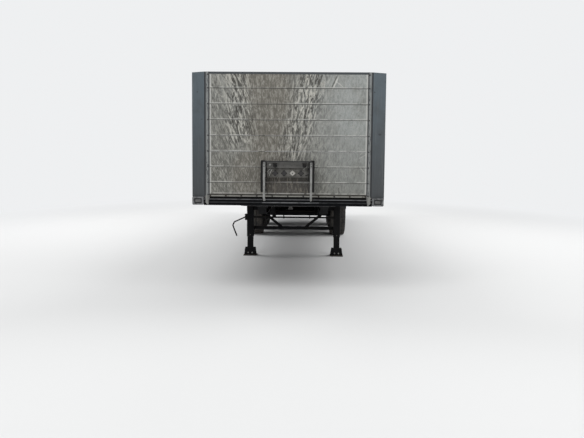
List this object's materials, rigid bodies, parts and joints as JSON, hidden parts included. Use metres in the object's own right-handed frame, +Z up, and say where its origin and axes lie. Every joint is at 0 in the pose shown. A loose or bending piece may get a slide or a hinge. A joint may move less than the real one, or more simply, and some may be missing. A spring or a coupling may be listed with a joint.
{
  "type": "flatbed semi-trailer with drop sides",
  "caption": "Flatbed semi-trailer with low neck, kingpin, tall plank headboard, drop sides, parked on its landing legs, wide single wheels on air springs.",
  "frame": {"origin": "on the ground under the middle of the trailer's overall length and width", "axes": "-Y towards the front, +X to the trailer's left side, +Z up"},
  "size_m": [2.55, 13.785, 2.963],
  "materials": {
    "tyre_rubber": "worn, dusty",
    "wheel_paint": "silver paint with dust and brown dirt",
    "board_aluminium": "weathered, dirt streaked",
    "wall_aluminium": "weathered grey, brown dirt streaks",
    "post_paint": "grey paint, weathered",
    "lamp_clear": "pale lens in a dark base",
    "lamp_red": "red and amber lens",
    "guard_zinc": "galvanised, dusty",
    "coupling_plastic": "moulded, dusty",
    "deck_plywood": "coated plywood, worn",
    "guard_plastic": "moulded, dusty",
    "flap_rubber": "matt, dusty",
    "bellows_rubber": "matt",
    "tank_aluminium": "brushed, dusty",
    "pin_steel": "greased, worn bright",
    "chassis_paint": "dark paint with road dust and rust spots"
  },
  "bodies": {
    "chassis": {"air_bellows": "bellows_rubber", "air_tanks": "tank_aluminium", "axles": "chassis_paint", "brake_chambers": "chassis_paint", "buffers": "flap_rubber", "corner_boxes": "post_paint", "coupling_guard": "guard_zinc", "coupling_heads": "coupling_plastic", "crossmembers": "chassis_paint", "deck": "deck_plywood", "front_beam": "chassis_paint", "front_lamps": "lamp_clear", "front_posts": "post_paint", "hangers": "chassis_paint", "kingpin": "pin_steel", "lamp_bar": "chassis_paint", "leg_drive": "chassis_paint", "leg_feet": "chassis_paint", "leg_housings": "chassis_paint", "leg_stays": "chassis_paint", "main_beams": "chassis_paint", "mudflaps": "flap_rubber", "mudguards_l": "guard_plastic", "mudguards_r": "guard_plastic", "rear_beam": "chassis_paint", "rear_bumper": "chassis_paint", "rear_posts": "post_paint", "rubbing_plate": "chassis_paint", "shock_absorbers": "chassis_paint", "side_pillars": "post_paint", "side_rails": "chassis_paint", "sockets": "coupling_plastic", "tail_lamps": "lamp_red", "tank_hangers": "chassis_paint", "trailing_arms": "chassis_paint", "wall_cap": "post_paint", "wall_foot": "wall_aluminium", "wall_planks": "wall_aluminium", "wall_stiffeners": "post_paint"},
    "wheel_body_l1": {"tyre_l1": "tyre_rubber", "wheel_l1": "wheel_paint"},
    "wheel_body_l2": {"tyre_l2": "tyre_rubber", "wheel_l2": "wheel_paint"},
    "wheel_body_l3": {"tyre_l3": "tyre_rubber", "wheel_l3": "wheel_paint"},
    "board_l1": {"side_board_l1": "board_aluminium"},
    "board_l2": {"side_board_l2": "board_aluminium"},
    "board_l3": {"side_board_l3": "board_aluminium"},
    "board_l4": {"side_board_l4": "board_aluminium"},
    "wheel_body_r1": {"tyre_r1": "tyre_rubber", "wheel_r1": "wheel_paint"},
    "wheel_body_r2": {"tyre_r2": "tyre_rubber", "wheel_r2": "wheel_paint"},
    "wheel_body_r3": {"tyre_r3": "tyre_rubber", "wheel_r3": "wheel_paint"},
    "board_r1": {"side_board_r1": "board_aluminium"},
    "board_r2": {"side_board_r2": "board_aluminium"},
    "board_r3": {"side_board_r3": "board_aluminium"},
    "board_r4": {"side_board_r4": "board_aluminium"},
    "board_rear": {"rear_board": "board_aluminium"}
  },
  "joints": [
    {"name": "wheel_turn_l1", "type": "hinge", "parent": "chassis", "child": "wheel_body_l1", "pos_m": [1.02, 1.2675, 0.53], "axis": [1, 0, 0], "continuous": true},
    {"name": "wheel_turn_l2", "type": "hinge", "parent": "chassis", "child": "wheel_body_l2", "pos_m": [1.02, 2.5775, 0.53], "axis": [1, 0, 0], "continuous": true},
    {"name": "wheel_turn_l3", "type": "hinge", "parent": "chassis", "child": "wheel_body_l3", "pos_m": [1.02, 3.8875, 0.53], "axis": [1, 0, 0], "continuous": true},
    {"name": "board_drop_l1", "type": "hinge", "parent": "chassis", "child": "board_l1", "pos_m": [1.26, 0, 1.3], "axis": [0, 1, 0], "range_deg": [0, 180]},
    {"name": "board_drop_l2", "type": "hinge", "parent": "chassis", "child": "board_l2", "pos_m": [1.26, 0, 1.3], "axis": [0, 1, 0], "range_deg": [0, 180]},
    {"name": "board_drop_l3", "type": "hinge", "parent": "chassis", "child": "board_l3", "pos_m": [1.26, 0, 1.3], "axis": [0, 1, 0], "range_deg": [0, 180]},
    {"name": "board_drop_l4", "type": "hinge", "parent": "chassis", "child": "board_l4", "pos_m": [1.26, 0, 1.3], "axis": [0, 1, 0], "range_deg": [0, 180]},
    {"name": "wheel_turn_r1", "type": "hinge", "parent": "chassis", "child": "wheel_body_r1", "pos_m": [-1.02, 1.2675, 0.53], "axis": [1, 0, 0], "continuous": true},
    {"name": "wheel_turn_r2", "type": "hinge", "parent": "chassis", "child": "wheel_body_r2", "pos_m": [-1.02, 2.5775, 0.53], "axis": [1, 0, 0], "continuous": true},
    {"name": "wheel_turn_r3", "type": "hinge", "parent": "chassis", "child": "wheel_body_r3", "pos_m": [-1.02, 3.8875, 0.53], "axis": [1, 0, 0], "continuous": true},
    {"name": "board_drop_r1", "type": "hinge", "parent": "chassis", "child": "board_r1", "pos_m": [-1.26, 0, 1.3], "axis": [0, -1, 0], "range_deg": [0, 180]},
    {"name": "board_drop_r2", "type": "hinge", "parent": "chassis", "child": "board_r2", "pos_m": [-1.26, 0, 1.3], "axis": [0, -1, 0], "range_deg": [0, 180]},
    {"name": "board_drop_r3", "type": "hinge", "parent": "chassis", "child": "board_r3", "pos_m": [-1.26, 0, 1.3], "axis": [0, -1, 0], "range_deg": [0, 180]},
    {"name": "board_drop_r4", "type": "hinge", "parent": "chassis", "child": "board_r4", "pos_m": [-1.26, 0, 1.3], "axis": [0, -1, 0], "range_deg": [0, 180]},
    {"name": "board_drop_rear", "type": "hinge", "parent": "chassis", "child": "board_rear", "pos_m": [0, 6.8825, 1.3], "axis": [-1, 0, 0], "range_deg": [0, 180]}
  ]
}
